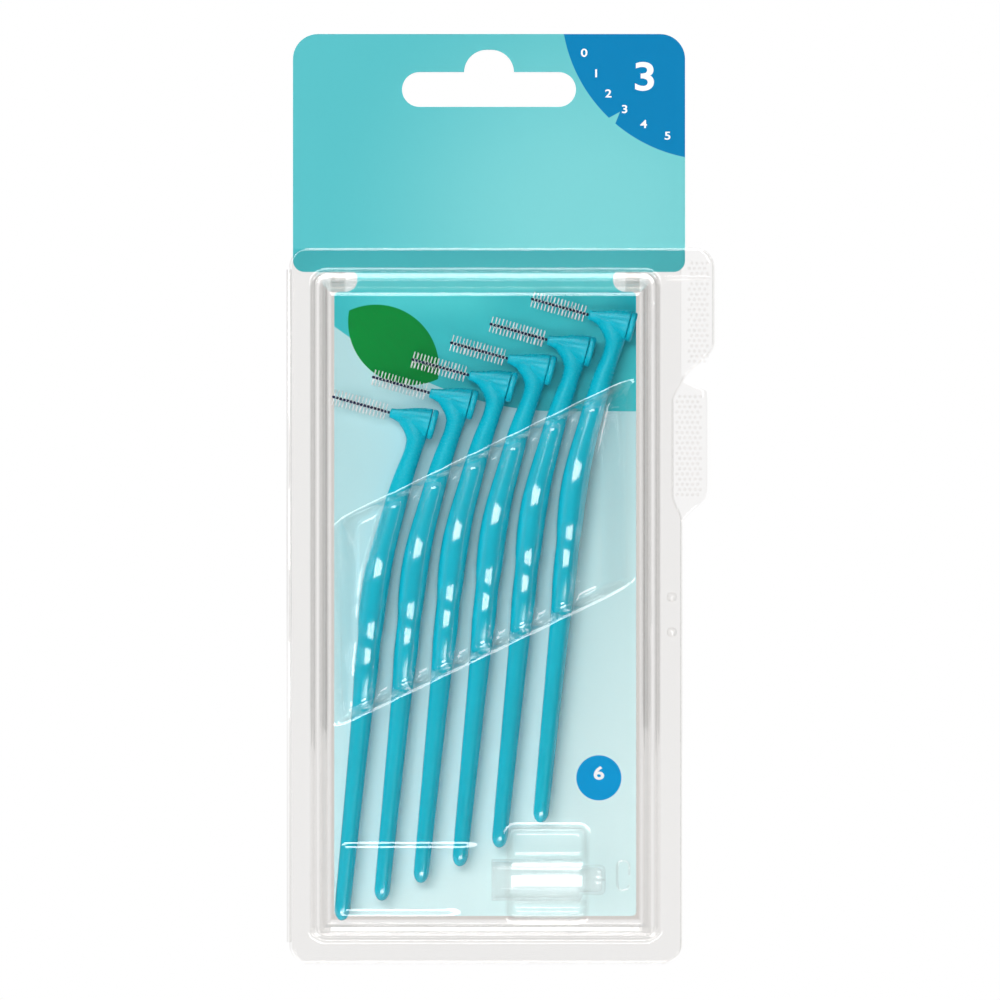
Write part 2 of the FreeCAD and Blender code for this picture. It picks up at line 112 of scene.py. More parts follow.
# Small forms pressed into the front shell
rib_x, rib_width, rib_height = 29.7, 0.55, 0.7
rib_spans = ((-47.6, -39.2), (-101.3, -91.9))
hollow_left, hollow_right, hollow_foot, hollow_top, hollow_corner = 3.4, 17.9, -152.2, -135.4, 1.6
hollow_floor = 3.0
row_above_hollow = -133.5
plaque_foot, plaque_top, plaque_height = -151.2, -138.2, 0.4
plaque_left, plaque_right, plaque_slant = -27.1, -0.267, 0.33
lug_x, lug_z, lug_radius, lug_half = 24.5, -144.1, 1.1, 1.6
crease_x, crease_z, crease_half = 36.5, -34.7, 3.9

# Lower edge of the card's header
header_half = 36.05
header_foot = -33.56
header_corner = 2.1
header_edge_height = 6.0
proud = 0.004

# Grip dots on the tabs
dot_pitch, dot_radius, dot_height, dot_sink = 0.95, 0.3, 0.08, 0.03

# Protective cap and its cradle
cap_radius = 3.85
cap_wall = 0.6
cap_barrel = 16.7
cap_nose = 4.2
cap_nose_radius = 2.8
cap_mouth_x = 0.46
cap_z = -145.18
cap_depth = card_front - seat_clear - cap_radius
cap_sides = 48
arch_facets = (
    (-4.6, 0.6, 0), (-3.5, 2.75, 0.4), (-2.3, 3.7, 0.4), (-0.9, 4.16, 0.3),
    (0.95, 4.42, 0.3), (2.4, 4.4, 0.2), (3.65, 3.5, 0.2), (4.75, 0.6, 0),
)


def smooth_curve(at, knots, values):
    """Monotone cubic through the knots: Hermite pieces whose slopes are harmonic means of the chords."""
    knots, values = np.asarray(knots, float), np.asarray(values, float)
    step = np.diff(knots)
    chord = np.diff(values) / step
    total = chord[:-1] + chord[1:]
    agree = chord[:-1] * chord[1:] > 0
    inner = np.where(agree, 2 * chord[:-1] * chord[1:] / np.where(agree, total, 1), 0)
    slope = np.concatenate([[chord[0]], inner, [chord[-1]]])
    i = np.clip(np.searchsorted(knots, at) - 1, 0, len(step) - 1)
    t = np.clip((at - knots[i]) / step[i], 0, 1)
    start = values[i] * (1 + 2 * t) * (1 - t) ** 2 + slope[i] * step[i] * t * (1 - t) ** 2
    end = values[i + 1] * t * t * (3 - 2 * t) + slope[i + 1] * step[i] * t * t * (t - 1)
    return start + end


def smoothstep(value, low, high):
    """0 below low, 1 above high, and an S-curve between them."""
    t = np.clip((value - low) / (high - low), 0, 1)
    return t * t * (3 - 2 * t)


def stations(marks, counts):
    """Places from the first mark to the last, with the given number of equal steps between neighbours."""
    runs = [a + (b - a) * np.arange(n) / n for a, b, n in zip(marks, marks[1:], counts)]
    return np.concatenate(runs + [[marks[-1]]])


def full_turn(sides):
    """Angles of equal steps round a full turn."""
    return np.linspace(0, 2 * math.pi, sides, endpoint=False)


def grid_quads(rows, cols, wrap=False):
    """Quads between neighbouring rows and columns of a grid; wrap closes the columns into a ring."""
    r = np.arange(rows - 1)[:, None]
    c = np.arange(cols if wrap else cols - 1)[None, :]
    nxt = (c + 1) % cols
    return np.stack([r * cols + c, r * cols + nxt, (r + 1) * cols + nxt, (r + 1) * cols + c], -1).reshape(-1, 4)


def joined(parts):
    """Several (points, faces) bodies as one, with the later bodies' faces counted on."""
    points, faces, start = [], [], 0
    for spots, quads in parts:
        points.append(spots)
        faces += [[corner + start for corner in face] for face in quads]
        start += len(spots)
    return np.concatenate(points), faces


def new_object(name, data):
    """Object for a mesh, curve, light or camera, put into the scene."""
    item = bpy.data.objects.new(name, data)
    bpy.context.scene.collection.objects.link(item)
    return item


def make_piece(name, parts, material, body, replaced=()):
    """Mesh object in the pack's frame from one or more bodies, riding on a body and standing for CAD nodes."""
    points, faces = joined(parts)
    mesh = bpy.data.meshes.new(name)
    mesh.from_pydata((points * MM).tolist(), [], faces)
    mesh.polygons.foreach_set("use_smooth", np.ones(len(mesh.polygons), bool))
    mesh.update()
    piece = new_object(name, mesh)
    mesh.materials.append(material)
    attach(piece, body)
    if replaced:
        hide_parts(*replaced)
    return piece


def loft(rings):
    """Closed tube through rings of spots (ring, spot, xyz), its two ends shut by one flat face each."""
    count, sides = rings.shape[:2]
    quads = grid_quads(count, sides, wrap=True).tolist()
    first = list(range(sides))
    last = [(count - 1) * sides + spot for spot in range(sides)]
    return rings.reshape(-1, 3), quads + [first[::-1], last]


def turned(profile, sides):
    """Closed round body about the X axis through (x, radius) stations, as rings of spots."""
    x, radius = np.asarray(profile, float).T
    turn = full_turn(sides)
    ring = np.stack([np.zeros(sides), np.cos(turn), np.sin(turn)], -1)
    return loft(np.stack([x, x * 0, x * 0], -1)[:, None, :] + radius[:, None, None] * ring[None])


def formed_sheet(x, y, z, thickness):
    """Sheet of even thickness whose front face is the grid (x, y, z); the back face lies behind it along the
    grid's normals and a rim of quads joins the two."""
    front = np.stack([x, y, z], -1)
    along_row = np.gradient(front, axis=1)
    along_col = np.gradient(front, axis=0)
    normal = np.cross(along_row, along_col)
    normal /= np.linalg.norm(normal, axis=-1, keepdims=True)
    normal *= -np.sign(normal[..., 1:2])
    rows, cols = x.shape
    back = front - normal * thickness
    quads = grid_quads(rows, cols)
    shift = rows * cols
    grid = np.arange(shift).reshape(rows, cols)
    edge = np.concatenate([grid[0, :-1], grid[:-1, -1], grid[-1, :0:-1], grid[:0:-1, 0]])
    onward = np.roll(edge, -1)
    rim = np.stack([onward, edge, edge + shift, onward + shift], -1)
    faces = np.concatenate([quads, quads[:, ::-1] + shift, rim])
    return np.concatenate([front.reshape(-1, 3), back.reshape(-1, 3)]), faces.tolist()


def dome(x, y, z, radius, height, sides=14, rings=5):
    """Low round dome that stands towards -Y on a flat face: radius r cos(t), height h sin(t), with a shut foot."""
    t = np.linspace(0, 0.49 * math.pi, rings)
    turn = full_turn(sides)
    reach = radius * np.cos(t)[:, None]
    ring_x = x + reach * np.cos(turn)
    ring_z = z - reach * np.sin(turn)
    ring_y = np.broadcast_to(y - height * np.sin(t)[:, None], ring_x.shape)
    return loft(np.stack([ring_x, ring_y, ring_z], -1))


def tilted(x, z):
    """A place in the brush's own frame, turned as the brushes lie in the pack."""
    return x * math.cos(tilt) + z * math.sin(tilt), z * math.cos(tilt) - x * math.sin(tilt)


def spine(along):
    """Place and lean of the handle's centre line: straight neck, one arc, straight tail."""
    turn = np.clip(along - neck_run, 0, bend_run) / bend_radius
    tail = np.maximum(along - neck_run - bend_run, 0)
    x = bend_radius * (1 - np.cos(turn)) + tail * np.sin(turn)
    z = -np.minimum(along, neck_run) - bend_radius * np.sin(turn) - tail * np.cos(turn)
    return x, z, turn


# The first brush's head, from the row's left end, its top end and the window's edges
tail_x = tilted(*spine(np.array(handle_length))[:2])[0]
first_x = window_left + 0.1 - min(tail_x - 1.45, tilted(-nose_reach - wire_free, 0)[0])
tip_top = tilted(-nose_reach - wire_free, bristle_reach)[1]
first_z = window_top - 0.2 - tip_top - (brush_count - 1) * step_z


def brush_spot(index):
    """Where a brush's head sits in the pack; each brush has slid a little along its channel."""
    slip = brush_slips[index]
    return first_x + index * step_x + slip * math.sin(tilt), first_z + index * step_z + slip * math.cos(tilt)


def placed(body, index):
    """A body made in the brush's own frame, turned and moved to its place in the row."""
    points, faces = body
    x, z = tilted(points[:, 0], points[:, 2])
    spot_x, spot_z = brush_spot(index)
    return np.stack([x + spot_x, points[:, 1] + brush_depth, z + spot_z], -1), faces


# Sections of the handle: distance along it, width across, depth and shift towards the nose
handle_table = np.array([
    (0.0, 6.25, 4.16, 1.28), (0.8, 6.0, 4.06, 0.92), (1.6, 5.4, 3.88, 0.5), (2.8, 4.15, 3.62, -0.12),
    (4.2, 3.35, 3.42, -0.46), (6.0, 3.15, 3.3, -0.44), (8.0, 3.3, 3.3, -0.28), (11.0, 3.6, 3.35, -0.08),
    (15.0, 3.95, 3.4, 0), (22.8, 4.4, 3.5, 0),
    (26.0, 4.65, 3.52, 0), (26.9, 4.72, 3.68, 0), (29.5, 4.97, 4.56, 0), (30.4, 5.0, 4.68, 0), (33.0, 5.05, 4.7, 0),
    (37.4, 4.92, 4.62, 0), (38.3, 4.83, 4.5, 0), (40.6, 4.42, 3.66, 0), (41.4, 4.34, 3.52, 0), (42.2, 4.3, 3.5, 0),
    (43.0, 4.34, 3.62, 0), (45.8, 4.48, 4.58, 0), (46.6, 4.5, 4.66, 0), (54.1, 3.9, 3.7, 0),
    (handle_length - tail_round, 2.9, 2.7, 0),
])


def handle_section(along):
    """Width, depth and shift of the handle at distances along it."""
    return [smooth_curve(along, handle_table[:, 0], handle_table[:, column]) for column in (1, 2, 3)]


def make_handle():
    """Stem and head of one handle: oval rings carried along the spine and a trumpet turned about the wire."""
    body = stations((0.0, 6.0, 22.0, 56.0, handle_length - tail_round), (18, 18, 70, 26))
    swing = np.linspace(0, 0.48 * math.pi, 9)[1:]
    along = np.concatenate([body, handle_length - tail_round + tail_round * np.sin(swing)])
    width, depth, shift = handle_section(along)
    taper = np.concatenate([np.ones(len(body)), np.cos(swing)])
    x, z, lean = spine(along)
    turn = full_turn(28)
    across = (width * taper)[:, None] / 2 * np.cos(turn) - shift[:, None]
    front = (depth * taper)[:, None] / 2 * np.sin(turn)
    ring_x = x[:, None] + across * np.cos(lean)[:, None]
    ring_z = z[:, None] + across * np.sin(lean)[:, None]
    rings = np.stack([ring_x, front, ring_z], -1)
    reach = np.linspace(0, 1, 30)
    trumpet_x = -nose_reach + (nose_reach + head_back - 0.1) * reach
    trumpet_r = smooth_curve(trumpet_x, (-5.4, -4.5, -3.2, -1.1, 0.6, 1.9), (0.86, 1.02, 1.42, 2.15, 2.57, 2.77))
    nose = [(-nose_reach - 0.12, 0.4), (-nose_reach - 0.1, 0.62), (-nose_reach - 0.04, 0.75)]
    rim = [(head_back, 2.7)]
    return [loft(rings), turned(nose + list(zip(trumpet_x, trumpet_r)) + rim, 36)]


def make_plug():
    """Disc behind the head, round-rimmed, on a narrower spigot that leaves a thin gap."""
    swing = np.linspace(0, math.pi / 2, 6)
    start, end = head_back + plug_gap, head_back + plug_thick
    round_x = end - 0.5 + 0.5 * np.sin(swing)
    round_r = head_radius - 0.5 + 0.5 * np.cos(swing)
    profile = [(head_back - 1.0, 1.1), (start, 1.1), (start, 2.55), (start + 0.05, 2.72), (start + 0.18, head_radius)]
    return [turned(profile + list(zip(round_x, round_r)) + [(end + 0.03, 1.2)], 36)]


def twist_at(x):
    """Angle of the twisted pair at a place along its axis."""
    return 2 * math.pi * wire_turns * (-nose_reach - x) / wire_free


def make_wire():
    """Two round strands, each a ring carried along a helix half a turn from the other."""
    steps = round(wire_turns * 18)
    x = np.linspace(-nose_reach + 1.5, -nose_reach - wire_free, steps)
    turn = full_turn(10)
    strands = []
    for half in (0, math.pi):
        angle = twist_at(x) + half
        centre = np.stack([x, strand_radius * np.cos(angle), strand_radius * np.sin(angle)], -1)
        run = np.gradient(centre, axis=0)
        run /= np.linalg.norm(run, axis=1, keepdims=True)
        out = np.stack([x * 0, np.cos(angle), np.sin(angle)], -1)
        side = np.cross(run, out)
        ring = out[:, None] * np.cos(turn)[:, None] + side[:, None] * np.sin(turn)[:, None]
        strands.append(loft(centre[:, None] + strand_radius * ring))
    return strands


def make_bristles(seed):
    """Filaments on the twist's ramp: thin tapered prisms that stand square to the wire in small tufts, in opposite
    pairs at each quarter turn, with a little unevenness in angle, slant and length."""
    noise = np.random.default_rng(seed)
    quarter = np.repeat(np.arange(2, round(4 * wire_turns)), 14)
    count = len(quarter)
    x = -nose_reach - wire_free * quarter / (4 * wire_turns) + noise.normal(0, 0.05, count)
    angle = math.pi / 2 * quarter + math.pi * (np.arange(count) % 2) + noise.normal(0, 0.16, count)
    reach = bristle_reach * noise.uniform(0.9, 1.03, count)
    slant = noise.normal(0, 0.03, count)
    out = np.stack([slant, np.cos(angle), np.sin(angle)], -1)
    side = np.stack([x * 0, -np.sin(angle), np.cos(angle)], -1)
    ahead = np.array([1.0, 0, 0])
    root = np.stack([x, x * 0, x * 0], -1)
    turn = np.arange(3) * 2 * math.pi / 3
    ring = side[:, None] * np.cos(turn)[:, None] + ahead * np.sin(turn)[:, None]
    foot = root[:, None] + 0.1 * out[:, None] + 0.06 * ring
    tip = root[:, None] + reach[:, None, None] * out[:, None] + 0.045 * ring
    points = np.concatenate([foot, tip], 1).reshape(-1, 3)
    prism = [[0, 1, 4, 3], [1, 2, 5, 4], [2, 0, 3, 5]]
    start = 6 * np.arange(count)[:, None, None]
    walls = (np.array(prism)[None] + start).reshape(-1, 4).tolist()
    ends = (np.array([[2, 1, 0], [3, 4, 5]])[None] + start).reshape(-1, 3).tolist()
    return [(points, walls + ends)]


def inside_distance(x, z, left, right, low, high, radius):
    """How far a spot lies inside an upright rectangle with round corners (negative outside)."""
    qx = np.abs(x - (left + right) / 2) - (right - left) / 2 + radius
    qz = np.abs(z - (low + high) / 2) - (high - low) / 2 + radius
    return radius - np.hypot(np.maximum(qx, 0), np.maximum(qz, 0)) - np.minimum(np.maximum(qx, qz), 0)


def along_handle(x, z, index):
    """Distance along a handle's centre line and sideways from it, for spots in the pack's frame."""
    spot_x, spot_z = brush_spot(index)
    xb = (x - spot_x) * math.cos(tilt) - (z - spot_z) * math.sin(tilt)
    zb = (x - spot_x) * math.sin(tilt) + (z - spot_z) * math.cos(tilt)
    turn = np.arctan2(-(zb + neck_run), bend_radius - xb)
    end_x, end_z, _ = spine(np.array(neck_run + bend_run))
    tail = (xb - end_x) * math.sin(bend) - (zb - end_z) * math.cos(bend)
    straight = zb > -neck_run
    beyond = tail > 0
    along = np.where(straight, -zb, np.where(beyond, neck_run + bend_run + tail, neck_run + bend_radius * turn))
    bent = bend_radius - np.hypot(bend_radius - xb, zb + neck_run)
    late = (xb - end_x) * math.cos(bend) + (zb - end_z) * math.sin(bend)
    return along, np.where(straight, xb, np.where(beyond, late, bent))


def band_line(along, x):
    """Height of the band's upper or lower slanted edge at a place across the pack."""
    spot_x, spot_z = tilted(*spine(np.array(along))[:2])
    return first_z + spot_z + math.tan(rise) * (x - first_x - spot_x)


def rounded_run(at, corners):
    """Height along a run of straight walls through (distance, height, radius) corners, each corner turned by an
    arc tangent to both walls."""
    line = [np.array(corners[:1], float)[:, :2]]
    for before, corner, after in zip(corners, corners[1:], corners[2:]):
        here = np.array(corner[:2], float)
        back = np.array(before[:2]) - here
        ahead = np.array(after[:2]) - here
        back, ahead = back / np.linalg.norm(back), ahead / np.linalg.norm(ahead)
        half = math.acos(np.clip(back @ ahead, -1, 1)) / 2
        middle = (back + ahead) / np.linalg.norm(back + ahead)
        centre = here + middle * corner[2] / math.sin(half)
        reach = corner[2] / math.tan(half)
        sweep = math.pi - 2 * half
        share = np.linspace(0, 1, 14)[:, None]
        start, end = here + back * reach - centre, here + ahead * reach - centre
        line.append(centre + (np.sin((1 - share) * sweep) * start + np.sin(share * sweep) * end) / math.sin(sweep))
    distance, height = np.concatenate(line + [np.array(corners[-1:], float)[:, :2]]).T
    return np.interp(at, distance, height)


def tub_height(inside):
    """Forward reach of the tub's stepped wall over the distance inside its foot."""
    foot = (-4, sheet, 0), (0.35, sheet, 0.2), (ledge_start, ledge_height, 0.45), (ledge_end, ledge_height, 0.5)
    return rounded_run(inside, foot + ((wall_crest, tub_depth, 0.8), (9, tub_depth, 0)))


def even_walls(z):
    """Heights stretched so that the steep lower wall and the gentler upper wall take the side walls' section."""
    ends = np.repeat([base_foot, base_top], [5, 4])
    real = (-9, ledge_start, steep_ledge, steep_crest, 9, -9, -top_crest, -ledge_end, 9)
    even = (-9, ledge_start, ledge_end, wall_crest, 9, -9, -wall_crest, -ledge_end, 9)
    return np.interp(z, ends + real, ends + even)


def step_down(inside, lean, crest, fillet):
    """Share of the way down a recess over the distance inside its edge: round crest, leaning wall, fillet."""
    drop = 7.4
    return rounded_run(inside, ((-4, 0, 0), (0, 0, crest), (lean, drop, fillet), (8, drop, 0))) / drop


def tunnels(x, z):
    """Forward reach of the band's floor with an oval tunnel over each handle."""
    reach = np.full_like(x, band_floor)
    for index in range(brush_count):
        along, aside = along_handle(x, z, index)
        width = handle_section(np.clip(along, 5, 70))[0]
        arch = np.clip(1 - (aside / (width / 2 + tunnel_reach + tunnel_side_room)) ** 2, 0, 1)
        reach = np.maximum(reach, (tunnel_reach + grip_half_depth - brush_depth) * np.sqrt(arch))
    return reach


def front_face(x, z):
    """Outer face of the front shell: stepped tub, two ribs on its ledge, the slanted holding band, the cap's hollow
    with its faceted arch, and a low plaque."""
    reach = tub_height(inside_distance(x, even_walls(z), base_left, base_right, base_foot, base_top, base_corner))
    for low, high in rib_spans:
        along = np.clip((z - low) / (high - low), 0, 1)
        reach += rib_height * np.sqrt(along * (1 - along)) * np.exp(-((x - rib_x) / rib_width) ** 2)
    slope = math.cos(rise)
    upper = (band_line(band_start, x) - z) * slope
    lower = (z - band_line(band_end, x)) * slope
    ends = smoothstep(x - window_left, 0.2, 5.5) * smoothstep(window_right - x, 0.3, 8.0)
    reach += (tunnels(x, z) - reach) * step_down(np.minimum(upper, lower), 1.2, 0.7, 0.7) * ends
    hollow = inside_distance(x, z, hollow_left, hollow_right, hollow_foot, hollow_top, hollow_corner)
    floor = np.maximum(hollow_floor, -cap_depth + rounded_run(z - cap_z, arch_facets))
    walls = reach - (tub_depth - hollow_floor) * step_down(hollow, 1.3, 1.1, 0.9)
    reach = np.maximum(np.minimum(floor, reach), walls)
    right = plaque_right - plaque_slant * (plaque_top - z)
    across = smoothstep(x, plaque_left, plaque_left + 1.0) * smoothstep(right - x, 0.0, 4.6)
    up = smoothstep(z, plaque_foot, plaque_foot + 0.6) * smoothstep(plaque_top - z, 0.0, 0.6)
    return -reach - plaque_height * across * up


def corner_inset(z, radius):
    """How far the flange's side edge draws in at its round corners."""
    over = np.maximum(np.abs(z - (flange_foot + flange_top) / 2) - (flange_top - flange_foot) / 2 + radius, 0)
    return radius - np.sqrt(np.maximum(radius ** 2 - over ** 2, 0))


def front_right_edge(z):
    """Right edge of the front flange: grip tab above, a cut-away beside the lid's tab, plain below."""
    plain = flange_right - corner_inset(z, flange_corner)
    tab = smoothstep(z, upper_tab_foot - 1.0, upper_tab_foot + 6.5)
    cut = smoothstep(z, lower_tab_foot - 3.6, lower_tab_foot + 1.0)
    cut *= 1 - smoothstep(z, upper_tab_foot - 4.0, upper_tab_foot)
    return plain + (upper_tab_edge - flange_right) * tab - 1.6 * cut


def lid_right_edge(z):
    """Right edge of the lid's flange, with the lower grip tab."""
    plain = flange_right - corner_inset(z, flange_corner)
    tab = smoothstep(z, lower_tab_foot - 4.5, lower_tab_foot + 1.5)
    tab *= 1 - smoothstep(z, upper_tab_foot - 2.4, upper_tab_foot + 0.2)
    return plain + (lower_tab_edge - flange_right) * tab


def flanged_grid(rows, columns, left_edge, right_edge, left_steps, right_steps):
    """Grid of spots whose outer columns stretch from the inner columns to the flange's left and right edge."""
    height_left, height_right = rows[:, 0], rows[:, -1]
    left = left_edge(height_left)[:, None]
    right = right_edge(height_right)[:, None]
    out = np.arange(left_steps)[None, :] / left_steps
    back = np.arange(1, right_steps + 1)[None, :] / right_steps
    inner = np.broadcast_to(columns, rows.shape)
    x = np.concatenate([left + (columns[0] - left) * out, inner, columns[-1] + (right - columns[-1]) * back], 1)
    wide = np.repeat(height_left[:, None], left_steps, 1), rows, np.repeat(height_right[:, None], right_steps, 1)
    return x, np.concatenate(wide, 1)


def row_lines(lines, counts):
    """Rows of heights between key lines (each one height per column), equal steps between neighbouring lines."""
    runs = [a + (b - a) * (np.arange(n) / n)[:, None] for a, b, n in zip(lines, lines[1:], counts)]
    return np.concatenate(runs + [lines[-1][None]])


def flat_path(x, z):
    """Spots in the flange's plane from their places across and up."""
    return np.stack([x, x * 0, z], -1)


def edge_bead(path, radius, y):
    """Thin rounded bead along a path in the flange's plane: a small ring carried along it at a depth."""
    run = np.gradient(path, axis=0)
    run /= np.linalg.norm(run, axis=1, keepdims=True)
    out = np.stack([run[:, 2], run[:, 1], -run[:, 0]], -1)
    turn = full_turn(8)
    depth = np.array([0, 1.0, 0])
    ring = out[:, None] * np.cos(turn)[:, None] + depth * np.sin(turn)[:, None]
    return loft(path[:, None] + depth * y + radius * ring)


def make_front_shell():
    """Front shell as a formed sheet on a grid whose rows lean with the band's edges, with beads along its rim, the
    lug and the tab's crease, two snap domes and the round fold of the hinge."""
    columns = stations(
        (base_left - foot_run, base_left, window_left, window_left + 0.4,
         window_right - 0.4, window_right, base_right, base_right + foot_run),
        (4, 20, 2, 131, 2, 20, 4),
    )
    held = np.clip(columns, window_left, window_right)
    low, high = band_line(band_end, held), band_line(band_start, held)
    below = (flange_foot, flange_foot + rim_run, base_foot - foot_run, base_foot, base_foot + steep_ledge,
             base_foot + 2.9, window_foot, row_above_hollow)
    above = (window_top - 1.4, window_top - 0.2, base_top, base_top + foot_run, flange_top - rim_run, flange_top)
    flat = np.ones_like(columns)
    lines = [mark * flat for mark in below] + [low - 1.0, low + 1.0, high - 1.0, high + 1.0]
    lines += [mark * flat for mark in above]
    rows = row_lines(lines, (4, 3, 4, 6, 10, 4, 50, 20, 14, 42, 14, 22, 6, 20, 4, 3, 4))
    x, z = flanged_grid(rows, columns, lambda h: flange_left + corner_inset(h, flange_corner), front_right_edge, 5, 10)
    parts = [formed_sheet(x, front_face(x, z), z, sheet)]
    foot, side, top = flat_path(x[0], z[0]), flat_path(x[:, -1], z[:, -1]), flat_path(x[-1], z[-1])
    parts.append(edge_bead(np.concatenate([foot, side[1:], top[-2::-1]]), 0.17, -sheet / 2))
    turn = np.linspace(0, 2 * math.pi, 49)
    cos, sin = np.cos(turn), np.sin(turn)
    lug = flat_path(lug_x + lug_radius * cos, lug_z + lug_radius * sin + lug_half * np.sign(sin))
    parts.append(edge_bead(lug, 0.2, -tub_depth))
    crease = flat_path(crease_x + 0.3 * cos + crease_half * np.sign(cos), crease_z + 0.33 * sin)
    parts.append(edge_bead(crease, 0.13, -sheet))
    snap_x = flange_right - flange_margin / 2
    parts += [dome(snap_x, -sheet, flange_top - drop, snap_radius, snap_height) for drop in snap_drops]
    turn = full_turn(12)
    height = np.array([flange_foot + hinge_room, flange_top - hinge_room])
    ring_x = flange_left + hinge_radius * np.cos(turn)
    ring = np.stack([ring_x, lid_front / 2 + hinge_radius * np.sin(turn), turn * 0], -1)
    parts.append(loft(ring[None] + np.array([0, 0, 1.0]) * height[:, None, None]))
    return parts


def make_back_lid():
    """Back lid as a formed sheet: flat panel with a ridge that nests inside the tub's foot, open at the neck."""
    columns = stations((base_left, base_left + tub_lean, base_right - tub_lean, base_right), (22, 12, 22))
    flat = np.ones_like(columns)
    marks = (flange_foot, flange_foot + rim_run, base_foot, base_foot + tub_lean, base_top - tub_lean, base_top,
             flange_top - rim_run, flange_top)
    rows = row_lines([mark * flat for mark in marks], (4, 3, 22, 76, 22, 3, 4))
    hinge_edge = flange_left + 0.57
    x, z = flanged_grid(rows, columns, lambda h: hinge_edge + corner_inset(h, 2.8), lid_right_edge, 5, 9)
    inside = inside_distance(x, z, base_left, base_right, base_foot, base_top, base_corner)
    ridge = smoothstep(inside, 0.85, 1.5) - smoothstep(inside, 3.0, 3.65)
    neck = smoothstep(np.abs(x - (window_left + window_right) / 2), 25.7, 26.9)
    ridge *= np.where(z > window_top - 1.0, neck, 1)
    return [formed_sheet(x, lid_front - 3.0 * ridge, z, sheet)]


def grip_dots(left, right, low, high, y):
    """Rows of low domes over a tab, every other row half a pitch along."""
    parts = []
    for row, z in enumerate(np.arange(low, high, dot_pitch)):
        for x in np.arange(left + (row % 2) * dot_pitch / 2, right, dot_pitch):
            parts.append(dome(x, y + dot_sink, z, dot_radius, dot_height, 8, 3))
    return parts


def make_header_edge():
    """Lower edge of the card's header with its tight round corners, a hair proud of the board on every side."""
    half, top = header_half + proud, header_foot + header_edge_height
    turn = np.linspace(0, math.pi / 2, 13)
    corner_x = half - header_corner + header_corner * np.cos(turn)
    right = np.stack([corner_x, header_foot + header_corner - header_corner * np.sin(turn)], -1)
    left = right[::-1] * (-1, 1)
    x, z = np.concatenate([[(half, top)], right, left, [(-half, top)]]).T
    rings = [np.stack([x, np.full_like(x, y), z], -1) for y in (card_back + proud, card_front - proud)]
    return [loft(np.stack(rings))]


def cap_section(inset):
    """Cap's section from the barrel's shoulder to the tip, drawn in by the inset."""
    swing = np.linspace(0, math.pi / 2, 6)

    def corner(end, outer, radius):
        """Quarter round that turns from the outer radius into the end face."""
        x = end - inset - radius + radius * np.sin(swing)
        return np.stack([x, outer - inset - radius + radius * np.cos(swing)], -1)

    shoulder = corner(cap_barrel, cap_radius, 0.7 - 0.3 * inset)
    tip = corner(cap_barrel + cap_nose, cap_nose_radius, 1.0 - 0.4 * inset)
    return np.concatenate([shoulder, [[cap_barrel - inset, cap_nose_radius - inset]], tip])


def make_cap():
    """Stepped clear cap: its wall's section, outside and inside, turned about the cap's axis."""
    end = cap_barrel + cap_nose
    mouth = [(0.0, cap_radius - 0.45), (0.0, cap_radius - 0.15), (0.15, cap_radius)]
    tip = [(end, 0.15), (end - cap_wall, 0.15)]
    lip = [(0.15, cap_radius - cap_wall)]
    x, radius = np.concatenate([mouth, cap_section(0), tip, cap_section(cap_wall)[::-1], lip]).T
    turn = full_turn(cap_sides)
    rings = np.stack([
        np.broadcast_to((cap_mouth_x + x)[:, None], (len(x), cap_sides)),
        cap_depth + radius[:, None] * np.cos(turn),
        cap_z + radius[:, None] * np.sin(turn),
    ], -1)
    quads = grid_quads(len(x) + 1, cap_sides, wrap=True) % (len(x) * cap_sides)
    return [(rings.reshape(-1, 3), quads.tolist())]


class Graph:
    """Adds nodes to the tree of a material, a group or the world and joins their sockets."""

    def __init__(self, tree):
        self.tree = tree
        tree.nodes.clear()

    def add(self, kind, inputs=(), **settings):
        """New node with its settings, and values or links for its inputs by name or number."""
        node = self.tree.nodes.new(kind)
        for name, value in settings.items():
            setattr(node, name, value)
        for name, value in dict(inputs).items():
            if isinstance(value, bpy.types.NodeSocket):
                self.tree.links.new(value, node.inputs[name])
            else:
                node.inputs[name].default_value = value
        return node

    def math(self, operation, *values):
        """One arithmetic step on values or sockets."""
        return self.add("ShaderNodeMath", enumerate(values), operation=operation).outputs[0]

    def plus(self, first, second):
        """Sum."""
        return self.math("ADD", first, second)

    def minus(self, first, second):
        """Difference."""
        return self.math("SUBTRACT", first, second)

    def times(self, first, second):
        """Product."""
        return self.math("MULTIPLY", first, second)

    def surface(self, shader):
        """Shows a shader on the material."""
        self.add("ShaderNodeOutputMaterial", {"Surface": shader.outputs[0]})

    def ease(self, value, low, high, start=0.0, end=1.0):
        """S-curve of a value between two limits."""
        inputs = {"Value": value, "From Min": low, "From Max": high, "To Min": start, "To Max": end}
        return self.add("ShaderNodeMapRange", inputs, interpolation_type="SMOOTHSTEP").outputs[0]

    def blend(self, factor, first, second):
        """Mix of two colours."""
        inputs = {0: factor, 6: first, 7: second}
        return self.add("ShaderNodeMix", inputs, data_type="RGBA").outputs[2]

    def grain(self, place, scale, detail=2.0, smooth=0.0, rough=1.0):
        """Shared grain at a place: its value, and a roughness that follows it between two limits."""
        inputs = {"Place": place, "Scale": scale, "Detail": detail, "Smooth": smooth, "Rough": rough}
        node = self.add("ShaderNodeGroup", inputs, node_tree=surface_grain)
        return node.outputs["Grain"], node.outputs["Roughness"]

    def bump(self, height, strength, distance):
        """Normal from a height."""
        inputs = {"Height": height, "Strength": strength, "Distance": distance}
        return self.add("ShaderNodeBump", inputs).outputs["Normal"]


